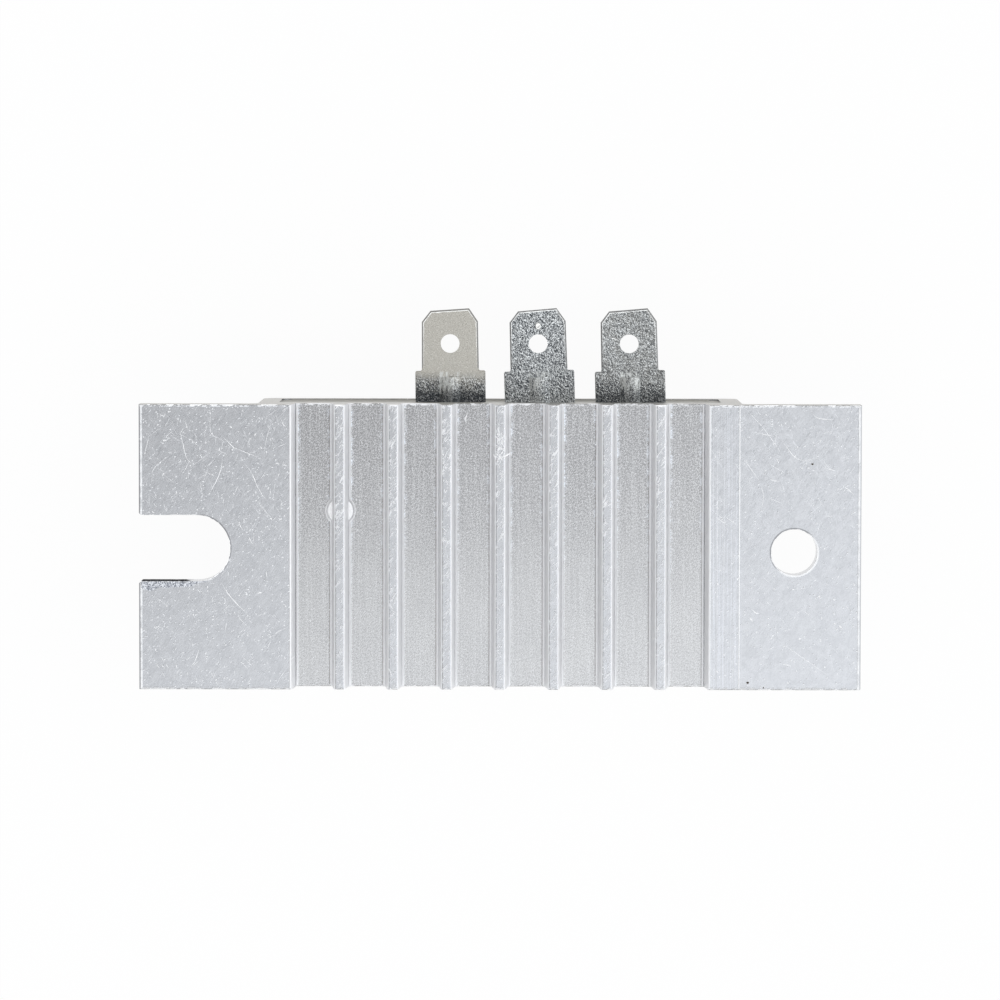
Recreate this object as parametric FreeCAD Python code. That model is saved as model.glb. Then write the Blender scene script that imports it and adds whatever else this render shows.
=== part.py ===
import FreeCAD, Part
import math
import os

from FreeCAD import Vector

# A voltage regulator rectifier with three blade terminals, potted in a finned extruded housing.
# Millimetres. The part lies on the flat front wall of its housing and +Z points out of the fins.
# +X runs from the open mounting slot to the round mounting hole, and the terminals point to +Y.
# The origin is the centre of the face that it lies on.

# Housing: one aluminium extrusion along Y, cut to length
HOUSING_DEPTH = 32.0       # the cut length, along Y
HOUSING_HEIGHT = 18.0      # from the front wall's face to the fin tips
BOX_WIDTH = 54.5           # outside of the closed part of the section
FLANGE_REACH = 13.25       # from the box's side to the flange's end
FLANGE_THICKNESS = 3.2
SIDE_WALL = 2.2
FRONT_WALL = 1.8
HEAT_WALL = 3.0            # between the grooves and the cavity
BOX_CORNER = 1.5
CAVITY_CORNER = 0.8
FLANGE_ROOT = 1.0
EDGE_ROUND = 0.2

# Cooling fins, whose tips are level with the flanges
FIN_COUNT = 7
FIN_HEIGHT = 3.8
FIN_TIP = 1.15
FIN_BASE = 1.9
FIN_TIP_ROUND = 0.22
GROOVE_ROUND = 0.4
STEP_INSET = 4.2           # from the box's side to the last groove's floor
STEP_DRAFT = 0.35

# Mounting hole and open slot in the flanges
HOLE_FROM_BOX = 5.75
HOLE_Y = -0.5
HOLE_DIAMETER = 5.2
SLOT_FROM_BOX = 6.72       # to the centre of the slot's round end
SLOT_Y = -0.13
SLOT_WIDTH = 7.45
SLOT_MOUTH_FLARE = 0.25

# Earth rivet: driven from inside, its end shows in the two grooves beside the first fin
RIVET_FROM_CASES = 3.5     # from the ends of the power devices' cases, along Y
RIVET_DIAMETER = 3.2
RIVET_RISE = 0.3           # above the groove floors
RIVET_BEVEL = 0.18
RIVET_HEAD_DIAMETER = 5.0
RIVET_HEAD_HEIGHT = 0.8

# Potting resin
RESIN_RECESS = 0.15         # how far its edge lies below the housing's mouth
RESIN_SAG = 0.15           # how much lower its middle is

# Blade terminals, stamped from tinned sheet
TERMINAL_PITCH = 10.33
MIDDLE_TERMINAL_X = 4.73
TERMINAL_LEANS = {"terminal_left": 0.6, "terminal_middle": 1.8, "terminal_right": 1.6}  # degrees towards -X
TERMINAL_OVER_BOARD = 1.5
SHEET = 0.8
BLADE_WIDTH = 6.5          # at the shoulder
BLADE_TIP_WIDTH = 6.4
SHOULDER_WIDTH = 8.0
BLADE_REACH = 10.52        # from the housing's mouth to the tip
SHOULDER_REACH = 3.43      # from the mouth to the shoulder
SHOULDER_ROUND = 0.2
TIP_CORNER_WIDE = 1.0
TIP_CORNER_LONG = 1.5
TIP_SLANT = 0.25           # how much further out the tip's +X end stands
DETENT_DIAMETER = 2.15
DETENT_FROM_TIP = 4.0
BLADE_BEVEL = 0.15
RIB_WIDTH = 2.3
RIB_RISE = 0.45
RIB_ABOVE_SHOULDER = 0.15
RIB_END_SLOPE = 50.0       # degrees between the sheet and the rib's sinking end
BLADE_ROOT = 5.2           # from the mouth to where the legs start inside the resin
LEG_WIDTH = 1.6
LEG_SPACING = 5.08
LEG_RUN = 1.5              # from the blade's root to the inner face of a leg
BEND_INSIDE = 0.5

# Circuit board, between the power devices and the mouth
BOARD_THICKNESS = 1.6
BOARD_FROM_FRONT_WALL = 1.3
BOARD_SIDE_GAP = 1.5
BOARD_PAST_CASES = 0.5
BOARD_MOUTH_GAP = 2.4
LEG_PROUD = 0.8            # how far leads stand out under the board
HOLE_CLEARANCE = 0.2       # round each lead in the board, filled with solder
SOLDER_MARGIN = 0.2        # beyond the hole
SOLDER_HEIGHT = 0.6

# Thermal pad between the power devices and the heat wall
PAD_THICKNESS = 0.3
PAD_SIDE_GAP = 1.0
PAD_END_GAP = 0.7
PAD_PAST_CASES = 0.5

# Power devices: flat tab, moulded case, and leads bent down to the board
DEVICE_SIDE_GAP = 1.5
CASE_WIDTH = 10.0
CASE_LENGTH = 8.9
CASE_HEIGHT = 4.3
CASE_BEVEL = 0.25
TAB_END_GAP = 1.2
TAB_THICKNESS = 1.3
TAB_WIDTH = 9.8
TAB_REACH = 6.3
TAB_IN_CASE = 7.2
TAB_HOLE_DIAMETER = 3.6
TAB_CORNER = 1.2
LEAD_WIDTH = 0.8
LEAD_THICKNESS = 0.5
LEAD_SPACING = 2.54
LEAD_BELOW_TAB = 2.4       # from the tab's face to the middle of the lead
LEAD_RUN = 1.3             # from the case to the inner face of the bent lead
LEAD_IN_CASE = 1.8
LEAD_BEND = 0.4

# Earth strap from the board to the rivet
STRAP_WIDTH = 4.0
STRAP_THICKNESS = 0.4
STRAP_PAST_RIVET = 1.9
STRAP_BEND = 0.5
STRAP_TONGUE = 2.4

# Small parts on the board: one column each side of a terminal's middle, under its blade
COLUMN_OFFSET = 1.8
SMALL_PARTS_FROM_MOUTH = 4.6
CHIP_LENGTH = 2.0
CHIP_WIDTH = 1.25
CHIP_HEIGHT = 0.55
CHIP_CAP = 0.35
CAPACITOR_LENGTH = 3.2
CAPACITOR_WIDTH = 1.6
CAPACITOR_HEIGHT = 1.1
CAPACITOR_CAP = 0.5
TRANSISTOR_WIDTH = 2.9
TRANSISTOR_LENGTH = 1.3
ZENER_WIDTH = 1.6
ZENER_LENGTH = 2.7
MOULDING_HEIGHT = 1.0
MOULDING_STANDOFF = 0.1
PIN_WIDTH = 0.4
PIN_THICKNESS = 0.15
PIN_RUN = 0.25             # from the moulding to the inner face of the bent pin
PIN_IN_MOULDING = 0.3
PIN_SPACING = 1.9          # between a transistor's two pins on one side

# Places worked out from the sizes above
PLATE_LENGTH = BOX_WIDTH + 2 * FLANGE_REACH
FRONT_Y = -HOUSING_DEPTH / 2
MOUTH_Y = HOUSING_DEPTH / 2
FLANGE_BACK_Z = HOUSING_HEIGHT - FLANGE_THICKNESS
GROOVE_FLOOR_Z = HOUSING_HEIGHT - FIN_HEIGHT
CEILING_Z = GROOVE_FLOOR_Z - HEAT_WALL
CAVITY_HALF = BOX_WIDTH / 2 - SIDE_WALL
STEP_FLOOR_X = BOX_WIDTH / 2 - STEP_INSET
GROOVE_WIDTH = (2 * STEP_FLOOR_X - FIN_COUNT * FIN_BASE) / (FIN_COUNT + 1)
FIN_PITCH = GROOVE_WIDTH + FIN_BASE
FIRST_FIN_X = -(FIN_COUNT - 1) / 2 * FIN_PITCH
HOLE_X = BOX_WIDTH / 2 + HOLE_FROM_BOX
SLOT_X = -(BOX_WIDTH / 2 + SLOT_FROM_BOX)

BOARD_BOTTOM = FRONT_WALL + BOARD_FROM_FRONT_WALL
BOARD_TOP = BOARD_BOTTOM + BOARD_THICKNESS
LEG_END_Z = BOARD_BOTTOM - LEG_PROUD

TAB_FACE_Z = CEILING_Z - PAD_THICKNESS
CASE_START_Y = FRONT_Y + TAB_END_GAP + TAB_REACH
CASE_END_Y = CASE_START_Y + CASE_LENGTH
LEAD_Z = TAB_FACE_Z - LEAD_BELOW_TAB
LEAD_DOWN_Y = CASE_END_Y + LEAD_RUN
DEVICE_PITCH = CAVITY_HALF - DEVICE_SIDE_GAP - CASE_WIDTH / 2
DEVICE_XS = {"scr_left": -DEVICE_PITCH, "dual_diode": 0.0, "scr_right": DEVICE_PITCH}

TERMINAL_Z = BOARD_TOP + TERMINAL_OVER_BOARD + SHEET / 2
TERMINAL_XS = {
    "terminal_left": MIDDLE_TERMINAL_X - TERMINAL_PITCH,
    "terminal_middle": MIDDLE_TERMINAL_X,
    "terminal_right": MIDDLE_TERMINAL_X + TERMINAL_PITCH,
}
LEG_FACE_Y = MOUTH_Y - BLADE_ROOT - LEG_RUN

RIVET_X = FIRST_FIN_X
RIVET_Y = CASE_END_Y + RIVET_FROM_CASES
STRAP_DROP_Y = RIVET_Y + RIVET_HEAD_DIAMETER / 2 + STRAP_BEND
STRAP_START_Y = RIVET_Y - STRAP_PAST_RIVET
SMALL_PARTS_Y = MOUTH_Y - SMALL_PARTS_FROM_MOUTH

OVERCUT = 1.0              # how far a cutting tool runs past what it cuts
TINY = 1e-6

ALONG_X = Vector(1, 0, 0)
ALONG_Y = Vector(0, 1, 0)
UP = Vector(0, 0, 1)


def box(x0, x1, y0, y1, z0, z1):
    """A block between two corners."""
    return Part.makeBox(x1 - x0, y1 - y0, z1 - z0, Vector(x0, y0, z0))


def rod(radius, start, direction, length):
    """A cylinder from the point start."""
    return Part.makeCylinder(radius, length, start, direction)


def upright(radius, x, y, low, high):
    """A standing cylinder between two levels."""
    return rod(radius, Vector(x, y, low), UP, high - low)


def rounded_wire(corners):
    """A closed wire through (point, radius) corners, with an arc where the radius isn't zero."""
    edges = []
    ends = []
    count = len(corners)
    for i, (point, radius) in enumerate(corners):
        if radius == 0:
            ends.append((point, point))
            continue
        back = corners[i - 1][0] - point
        ahead = corners[(i + 1) % count][0] - point
        half_angle = back.getAngle(ahead) / 2
        back.normalize()
        ahead.normalize()
        reach = radius / math.tan(half_angle)
        bisector = back + ahead
        bisector.normalize()
        first = point + back * reach
        middle = point + bisector * (radius / math.sin(half_angle) - radius)
        last = point + ahead * reach
        ends.append((first, last))
        edges.append(Part.Arc(first, middle, last).toShape())
    for i in range(count):
        leave = ends[i][1]
        arrive = ends[(i + 1) % count][0]
        if (arrive - leave).Length > TINY:
            edges.append(Part.makeLine(leave, arrive))
    return Part.Wire(Part.__sortEdges__(edges))


def prism(corners, sweep):
    """The solid that a rounded outline sweeps."""
    return Part.Face(rounded_wire(corners)).extrude(sweep)


def extruded(points, length):
    """A solid along Y from the housing's front end, from the (x, z, radius) corners of its section."""
    corners = [(Vector(x, FRONT_Y, z), radius) for x, z, radius in points]
    return prism(corners, ALONG_Y * length)


def cut_from_sheet(points, low, thickness):
    """A flat plate from the (x, y, radius) corners of its outline."""
    corners = [(Vector(x, y, low), radius) for x, y, radius in points]
    return prism(corners, UP * thickness)


def fused(shapes):
    """One shape from shapes that overlap or touch."""
    return shapes[0].multiFuse(shapes[1:]).removeSplitter()


def save(name, shapes):
    """Writes a node that is one solid, or a group of separate ones."""
    solids = [solid for shape in shapes for solid in shape.Solids]
    node = solids[0] if len(solids) == 1 else Part.makeCompound(solids)
    node.exportStep(f"parts/{name}.step")


def fin_points():
    """Section of the fins and the groove floors between them, from left to right."""
    points = []
    for i in range(FIN_COUNT):
        x = FIRST_FIN_X + i * FIN_PITCH
        points += [
            (x - FIN_BASE / 2, GROOVE_FLOOR_Z, GROOVE_ROUND),
            (x - FIN_TIP / 2, HOUSING_HEIGHT, FIN_TIP_ROUND),
            (x + FIN_TIP / 2, HOUSING_HEIGHT, FIN_TIP_ROUND),
            (x + FIN_BASE / 2, GROOVE_FLOOR_Z, GROOVE_ROUND),
        ]
    return points


def housing_points():
    """Outline of the extrusion: fins, steps up to the flanges, and the box below."""
    right = [
        (STEP_FLOOR_X, GROOVE_FLOOR_Z, GROOVE_ROUND),
        (STEP_FLOOR_X + STEP_DRAFT, HOUSING_HEIGHT, EDGE_ROUND),
        (PLATE_LENGTH / 2, HOUSING_HEIGHT, EDGE_ROUND),
        (PLATE_LENGTH / 2, FLANGE_BACK_Z, EDGE_ROUND),
        (BOX_WIDTH / 2, FLANGE_BACK_Z, FLANGE_ROOT),
        (BOX_WIDTH / 2, 0.0, BOX_CORNER),
    ]
    left = [(-x, z, radius) for x, z, radius in reversed(right)]
    return left + fin_points() + right


def cavity_points():
    """Outline of the through cavity that holds the circuit."""
    return [
        (-CAVITY_HALF, FRONT_WALL, CAVITY_CORNER),
        (-CAVITY_HALF, CEILING_Z, CAVITY_CORNER),
        (CAVITY_HALF, CEILING_Z, CAVITY_CORNER),
        (CAVITY_HALF, FRONT_WALL, CAVITY_CORNER),
    ]


def mounting_slot():
    """The U cut from the plate's left end, a little wider at its mouth."""
    half = SLOT_WIDTH / 2
    low = FLANGE_BACK_Z - OVERCUT
    high = HOUSING_HEIGHT + OVERCUT
    edge = -PLATE_LENGTH / 2
    run = box(edge - OVERCUT, SLOT_X, SLOT_Y - half, SLOT_Y + half, low, high)
    round_end = upright(half, SLOT_X, SLOT_Y, low, high)
    flared = half + SLOT_MOUTH_FLARE + OVERCUT
    mouth = [
        (edge - OVERCUT, SLOT_Y - flared, 0),
        (edge + SLOT_MOUTH_FLARE, SLOT_Y - half, 0),
        (edge + SLOT_MOUTH_FLARE, SLOT_Y + half, 0),
        (edge - OVERCUT, SLOT_Y + flared, 0),
    ]
    return fused([run, round_end, cut_from_sheet(mouth, low, high - low)])


def rivet_hole():
    """Blind hole from the cavity up into the root of the first fin."""
    top = GROOVE_FLOOR_Z + RIVET_RISE
    return upright(RIVET_DIAMETER / 2, RIVET_X, RIVET_Y, CEILING_Z - OVERCUT, top)


def build_housing():
    outside = extruded(housing_points(), HOUSING_DEPTH)
    cavity = extruded(cavity_points(), HOUSING_DEPTH)
    hole = upright(HOLE_DIAMETER / 2, HOLE_X, HOLE_Y, FLANGE_BACK_Z - OVERCUT, HOUSING_HEIGHT + OVERCUT)
    return outside.cut([cavity, hole, mounting_slot(), rivet_hole()])


def build_rivet():
    """The earth rivet: a flat head under the strap, and a shank with a bevelled rim at its end."""
    strap_face = CEILING_Z - STRAP_THICKNESS
    top = GROOVE_FLOOR_Z + RIVET_RISE
    head = upright(RIVET_HEAD_DIAMETER / 2, RIVET_X, RIVET_Y, strap_face - RIVET_HEAD_HEIGHT, strap_face)
    shank = upright(RIVET_DIAMETER / 2, RIVET_X, RIVET_Y, strap_face, top)
    rim = [edge for edge in shank.Edges if edge.BoundBox.ZMin > top - TINY]
    return fused([head, shank.makeChamfer(RIVET_BEVEL, rim)])


def bent_strip(x, width, thickness, start_y, leg_face_y, underside, foot_z, bend_inside=0):
    """A strip that lies flat from start_y and turns down at leg_face_y, its leg's inner face.

    The turn is sharp where no radius is given for the inside of the bend."""
    way = math.copysign(1, leg_face_y - start_y)
    bend_outside = bend_inside + thickness if bend_inside else 0
    back_y = leg_face_y + way * thickness
    top = underside + thickness
    side = x - width / 2
    corners = [
        (Vector(side, start_y, underside), 0),
        (Vector(side, leg_face_y, underside), bend_inside),
        (Vector(side, leg_face_y, foot_z), 0),
        (Vector(side, back_y, foot_z), 0),
        (Vector(side, back_y, top), bend_outside),
        (Vector(side, start_y, top), 0),
    ]
    return prism(corners, ALONG_X * width)


def build_strap():
    """The earth strap: riveted flat to the heat wall, then down through the board."""
    underside = CEILING_Z - STRAP_THICKNESS
    strap = bent_strip(
        RIVET_X, STRAP_WIDTH, STRAP_THICKNESS, STRAP_START_Y, STRAP_DROP_Y, underside, BOARD_TOP, STRAP_BEND
    )
    half = STRAP_TONGUE / 2
    end_y = STRAP_DROP_Y + STRAP_THICKNESS
    tongue = box(RIVET_X - half, RIVET_X + half, STRAP_DROP_Y, end_y, LEG_END_Z, BOARD_TOP)
    hole = upright(RIVET_DIAMETER / 2, RIVET_X, RIVET_Y, underside - OVERCUT, CEILING_Z + OVERCUT)
    return fused([strap, tongue]).cut(hole)


def blade_points(x):
    """Outline of a terminal's flat part, from its root in the resin to its slanted tip."""
    root = MOUTH_Y - BLADE_ROOT
    shoulder = MOUTH_Y + SHOULDER_REACH
    tip = MOUTH_Y + BLADE_REACH
    corner = tip - TIP_CORNER_LONG
    half_shoulder = SHOULDER_WIDTH / 2
    half_low = BLADE_WIDTH / 2
    half_high = BLADE_TIP_WIDTH / 2
    return [
        (x - half_shoulder, root, 0),
        (x + half_shoulder, root, 0),
        (x + half_shoulder, shoulder, SHOULDER_ROUND),
        (x + half_low, shoulder, SHOULDER_ROUND),
        (x + half_high, corner, 0),
        (x + half_high - TIP_CORNER_WIDE, tip, 0),
        (x - half_high + TIP_CORNER_WIDE, tip - TIP_SLANT, 0),
        (x - half_high, corner, 0),
        (x - half_low, shoulder, SHOULDER_ROUND),
        (x - half_shoulder, shoulder, SHOULDER_ROUND),
    ]


def rib_form(x, radius, axis_z):
    """Two rods in line with the blade, the further one sinking, whose surface is that of the rib."""
    start = Vector(x, MOUTH_Y - BLADE_ROOT - OVERCUT, axis_z)
    slope = math.radians(RIB_END_SLOPE)
    sunk = radius * (1 - math.cos(slope))
    end_y = MOUTH_Y + SHOULDER_REACH + RIB_ABOVE_SHOULDER - (RIB_RISE + sunk) / math.tan(slope)
    end = Vector(x, end_y, axis_z)
    stem = rod(radius, start, ALONG_Y, end.y - start.y)
    return fused([stem, rod(radius, end, Vector(0, math.cos(slope), -math.sin(slope)), BLADE_REACH)])


def build_terminal(x, lean):
    """A blade with shoulders, a detent hole, a pressed rib, and two legs bent down to the board.

    It was soldered a little askew, so all of it leans about the middle between its legs."""
    low = TERMINAL_Z - SHEET / 2
    high = TERMINAL_Z + SHEET / 2
    shoulder = MOUTH_Y + SHOULDER_REACH
    blade = cut_from_sheet(blade_points(x), low, SHEET)
    past_shoulder = [edge for edge in blade.Edges if edge.BoundBox.YMin > shoulder + SHOULDER_ROUND / 2]
    rims = [edge for edge in past_shoulder if edge.BoundBox.ZLength < TINY]
    blade = blade.makeChamfer(BLADE_BEVEL, rims)
    detent_y = MOUTH_Y + BLADE_REACH - DETENT_FROM_TIP
    detent = upright(DETENT_DIAMETER / 2, x, detent_y, low - OVERCUT, high + OVERCUT)

    # The sheet keeps its thickness in the rib: it stands out on the fin side and is hollow behind.
    radius = (RIB_WIDTH ** 2 / 4 + RIB_RISE ** 2) / (2 * RIB_RISE)
    root = MOUTH_Y - BLADE_ROOT
    swell = rib_form(x, radius, high + RIB_RISE - radius)
    hollow = rib_form(x, radius, low + RIB_RISE - radius)
    half = SHOULDER_WIDTH / 2
    above = box(x - half, x + half, root, MOUTH_Y + BLADE_REACH, TERMINAL_Z, high + SHEET)
    blade = fused([blade, swell.common(above)]).cut([hollow, detent])

    legs = [
        bent_strip(leg_x, LEG_WIDTH, SHEET, root, LEG_FACE_Y, low, LEG_END_Z, BEND_INSIDE)
        for leg_x in leg_xs(x)
    ]
    return fused([blade] + legs).rotated(Vector(x, LEG_FACE_Y, 0), UP, lean)


def leg_xs(x):
    """Middles of a terminal's two legs."""
    return [x - LEG_SPACING / 2, x + LEG_SPACING / 2]


def lead_xs(x):
    """Middles of a power device's three leads."""
    return [x + offset * LEAD_SPACING for offset in (-1, 0, 1)]


def build_leadframe(x):
    """The metal of a power device: its tab, and leads that are bent down through the board."""
    low = TAB_FACE_Z - TAB_THICKNESS
    half = TAB_WIDTH / 2
    end = CASE_START_Y - TAB_REACH
    inner = CASE_START_Y + TAB_IN_CASE
    outline = [
        (x - half, inner, 0),
        (x - half, end + TAB_CORNER, 0),
        (x - half + TAB_CORNER, end, 0),
        (x + half - TAB_CORNER, end, 0),
        (x + half, end + TAB_CORNER, 0),
        (x + half, inner, 0),
    ]
    hole_y = CASE_START_Y - TAB_REACH / 2
    hole = upright(TAB_HOLE_DIAMETER / 2, x, hole_y, low - OVERCUT, TAB_FACE_Z + OVERCUT)
    tab = cut_from_sheet(outline, low, TAB_THICKNESS).cut(hole)
    start = CASE_END_Y - LEAD_IN_CASE
    underside = LEAD_Z - LEAD_THICKNESS / 2
    bent = [
        bent_strip(lead_x, LEAD_WIDTH, LEAD_THICKNESS, start, LEAD_DOWN_Y, underside, LEG_END_Z, LEAD_BEND)
        for lead_x in lead_xs(x)
    ]
    return [tab] + bent


def build_case(x, leadframe):
    """The moulded case round the tab and the inner ends of the leads."""
    low = TAB_FACE_Z - CASE_HEIGHT
    half = CASE_WIDTH / 2
    block = box(x - half, x + half, CASE_START_Y, CASE_END_Y, low, TAB_FACE_Z)
    rim = [edge for edge in block.Edges if edge.BoundBox.ZMax < low + TINY]
    return block.makeChamfer(CASE_BEVEL, rim).cut(leadframe)


def build_chip(x, length, width, height, cap):
    """A chip part that lies along Y on the board: its body, and the metal caps at its two ends."""
    front = SMALL_PARTS_Y - length / 2
    back = SMALL_PARTS_Y + length / 2
    left = x - width / 2
    right = x + width / 2
    top = BOARD_TOP + height
    body = box(left, right, front + cap, back - cap, BOARD_TOP, top)
    caps = [
        box(left, right, front, front + cap, BOARD_TOP, top),
        box(left, right, back - cap, back, BOARD_TOP, top),
    ]
    return body, caps


def build_moulded_part(x, width, length, front_pins, back_pins):
    """A small moulding over the board, and its bent pins at the given offsets along X."""
    low = BOARD_TOP + MOULDING_STANDOFF
    top = low + MOULDING_HEIGHT
    underside = (low + top - PIN_THICKNESS) / 2
    pins = []
    for way, offsets in ((-1, front_pins), (1, back_pins)):
        edge = SMALL_PARTS_Y + way * length / 2
        start = edge - way * PIN_IN_MOULDING
        bend = edge + way * PIN_RUN
        pins += [
            bent_strip(x + offset, PIN_WIDTH, PIN_THICKNESS, start, bend, underside, BOARD_TOP)
            for offset in offsets
        ]
    front = SMALL_PARTS_Y - length / 2
    block = box(x - width / 2, x + width / 2, front, front + length, low, top)
    return block.cut(pins), pins


def lead_spots():
    """Where leads pass the board, as (x, y, size along X, size along Y)."""
    spots = [(RIVET_X, STRAP_DROP_Y + STRAP_THICKNESS / 2, STRAP_TONGUE, STRAP_THICKNESS)]
    for x in DEVICE_XS.values():
        y = LEAD_DOWN_Y + LEAD_THICKNESS / 2
        spots += [(lead_x, y, LEAD_WIDTH, LEAD_THICKNESS) for lead_x in lead_xs(x)]
    for x in TERMINAL_XS.values():
        y = LEG_FACE_Y - SHEET / 2
        spots += [(leg_x, y, LEG_WIDTH, SHEET) for leg_x in leg_xs(x)]
    return spots


def board_slot(spot, low, high):
    """The plated slot round a lead."""
    x, y, wide, deep = spot
    half_x = wide / 2 + HOLE_CLEARANCE
    half_y = deep / 2 + HOLE_CLEARANCE
    return box(x - half_x, x + half_x, y - half_y, y + half_y, low, high)


def build_board():
    half = CAVITY_HALF - BOARD_SIDE_GAP
    front = CASE_END_Y + BOARD_PAST_CASES
    board = box(-half, half, front, MOUTH_Y - BOARD_MOUTH_GAP, BOARD_BOTTOM, BOARD_TOP)
    slots = [board_slot(spot, BOARD_BOTTOM - OVERCUT, BOARD_TOP + OVERCUT) for spot in lead_spots()]
    return board.cut(slots)


def build_solder_joint(spot, leads):
    """Solder that fills a lead's slot and swells round the lead below the board."""
    x, y, wide, deep = spot
    half_x = wide / 2 + HOLE_CLEARANCE + SOLDER_MARGIN
    half_y = deep / 2 + HOLE_CLEARANCE + SOLDER_MARGIN
    low = BOARD_BOTTOM - SOLDER_HEIGHT
    swell = box(x - half_x, x + half_x, y - half_y, y + half_y, low, BOARD_BOTTOM)
    foot = [edge for edge in swell.Edges if edge.BoundBox.ZMax < low + TINY]
    swell = swell.makeChamfer(SOLDER_MARGIN, foot)
    return fused([swell, board_slot(spot, BOARD_BOTTOM, BOARD_TOP)]).cut(leads)


def build_pad():
    half = CAVITY_HALF - PAD_SIDE_GAP
    return box(-half, half, FRONT_Y + PAD_END_GAP, CASE_END_Y + PAD_PAST_CASES, TAB_FACE_Z, CEILING_Z)


def build_resin(inner):
    """Resin that fills the cavity round the inner pieces, with a hollow surface at the mouth."""
    filling = extruded(cavity_points(), HOUSING_DEPTH - RESIN_RECESS)
    half = (CEILING_Z - FRONT_WALL) / 2
    radius = (half ** 2 + RESIN_SAG ** 2) / (2 * RESIN_SAG)
    lowest = MOUTH_Y - RESIN_RECESS - RESIN_SAG
    start = Vector(-BOX_WIDTH, lowest + radius, FRONT_WALL + half)
    return filling.cut([rod(radius, start, ALONG_X, 2 * BOX_WIDTH)] + inner)


def main():
    os.makedirs("parts", exist_ok=True)
    nodes = {name: [build_terminal(x, TERMINAL_LEANS[name])] for name, x in TERMINAL_XS.items()}
    nodes["earth_strap"] = [build_strap()]
    for name, x in DEVICE_XS.items():
        leadframe = build_leadframe(x)
        nodes[f"{name}_leadframe"] = leadframe
        nodes[f"{name}_case"] = [build_case(x, leadframe)]
    leads = [shape for name, shapes in nodes.items() if not name.endswith("_case") for shape in shapes]
    nodes["solder_joints"] = [build_solder_joint(spot, leads) for spot in lead_spots()]

    left, middle, right = TERMINAL_XS.values()
    resistor_xs = [left - COLUMN_OFFSET, middle - COLUMN_OFFSET, right - COLUMN_OFFSET, (left + middle) / 2]
    for number, x in enumerate(resistor_xs, 1):
        body, caps = build_chip(x, CHIP_LENGTH, CHIP_WIDTH, CHIP_HEIGHT, CHIP_CAP)
        nodes[f"chip_resistor_{number}_body"] = [body]
        nodes[f"chip_resistor_{number}_caps"] = caps
    body, caps = build_chip(
        middle + COLUMN_OFFSET, CAPACITOR_LENGTH, CAPACITOR_WIDTH, CAPACITOR_HEIGHT, CAPACITOR_CAP
    )
    nodes["chip_capacitor_body"] = [body]
    nodes["chip_capacitor_caps"] = caps
    pair = [-PIN_SPACING / 2, PIN_SPACING / 2]
    case, pins = build_moulded_part(left + COLUMN_OFFSET, TRANSISTOR_WIDTH, TRANSISTOR_LENGTH, pair, [0])
    nodes["trigger_transistor_case"] = [case]
    nodes["trigger_transistor_pins"] = pins
    case, pins = build_moulded_part(right + COLUMN_OFFSET, ZENER_WIDTH, ZENER_LENGTH, [0], [0])
    nodes["zener_diode_case"] = [case]
    nodes["zener_diode_pins"] = pins

    nodes["earth_rivet"] = [build_rivet()]
    nodes["circuit_board"] = [build_board()]
    nodes["thermal_pad"] = [build_pad()]
    inner = [shape for shapes in nodes.values() for shape in shapes]
    nodes["potting_resin"] = [build_resin(inner)]
    nodes["heat_sink_housing"] = [build_housing()]
    for name, shapes in nodes.items():
        save(name, shapes)


main()
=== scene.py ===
import math
import random

import bmesh
import bpy
from mathutils import Matrix, Vector, noise


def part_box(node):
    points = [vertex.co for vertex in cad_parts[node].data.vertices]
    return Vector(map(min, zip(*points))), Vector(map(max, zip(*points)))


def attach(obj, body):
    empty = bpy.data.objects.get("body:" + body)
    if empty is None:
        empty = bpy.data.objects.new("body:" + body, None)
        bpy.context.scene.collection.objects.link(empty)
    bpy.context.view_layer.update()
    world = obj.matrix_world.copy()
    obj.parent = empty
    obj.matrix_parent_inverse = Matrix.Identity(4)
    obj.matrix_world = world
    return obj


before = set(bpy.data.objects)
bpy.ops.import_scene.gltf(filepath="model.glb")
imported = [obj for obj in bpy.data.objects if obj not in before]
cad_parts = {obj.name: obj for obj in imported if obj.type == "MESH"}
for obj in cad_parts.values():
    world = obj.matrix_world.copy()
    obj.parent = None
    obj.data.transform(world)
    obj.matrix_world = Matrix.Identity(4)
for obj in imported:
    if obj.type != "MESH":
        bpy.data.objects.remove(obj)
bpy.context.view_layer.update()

MM = 0.001

# Camera, fitted to the corners of the plate and the tips of the blades in the photograph
CAMERA_PLACE = Vector((0.39, 39.74, 578.0)) * MM
CAMERA_PITCH = math.radians(3.515)
CAMERA_YAW = math.radians(-0.041)
CAMERA_ROLL = math.radians(-0.091)
CAMERA_LENS = 180.3
SENSOR = 36.0

# Light
DARK_SKY = 0.6
BRIGHT_SKY = 1.43
DARK_TINT = (1.0, 1.0, 1.005, 1.0)
BRIGHT_TINT = (0.975, 0.995, 1.02, 1.0)
SKY_TOWARDS = Vector((0.47, -0.88, 0.0))  # where the sky gets brighter
SKY_EDGE = (0.013, 0.073)
FLOOR_REACH = 3.0
FLOOR_DROP = 0.0001
FLOOR_GLOW = 0.94

# Sizes of the housing that its box doesn't give, in millimetres
FIN_COUNT = 7
FIN_PITCH = 6.0
FIN_HEIGHT = 3.8
FIN_TIP = 1.15
FIN_BASE = 1.9
STEP_FLOOR_X = 23.05
STEP_TOP_X = 23.4
MOUTH_HALF = 25.2
MOUTH_LOW = 1.0
MOUTH_HIGH = 11.6

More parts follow.
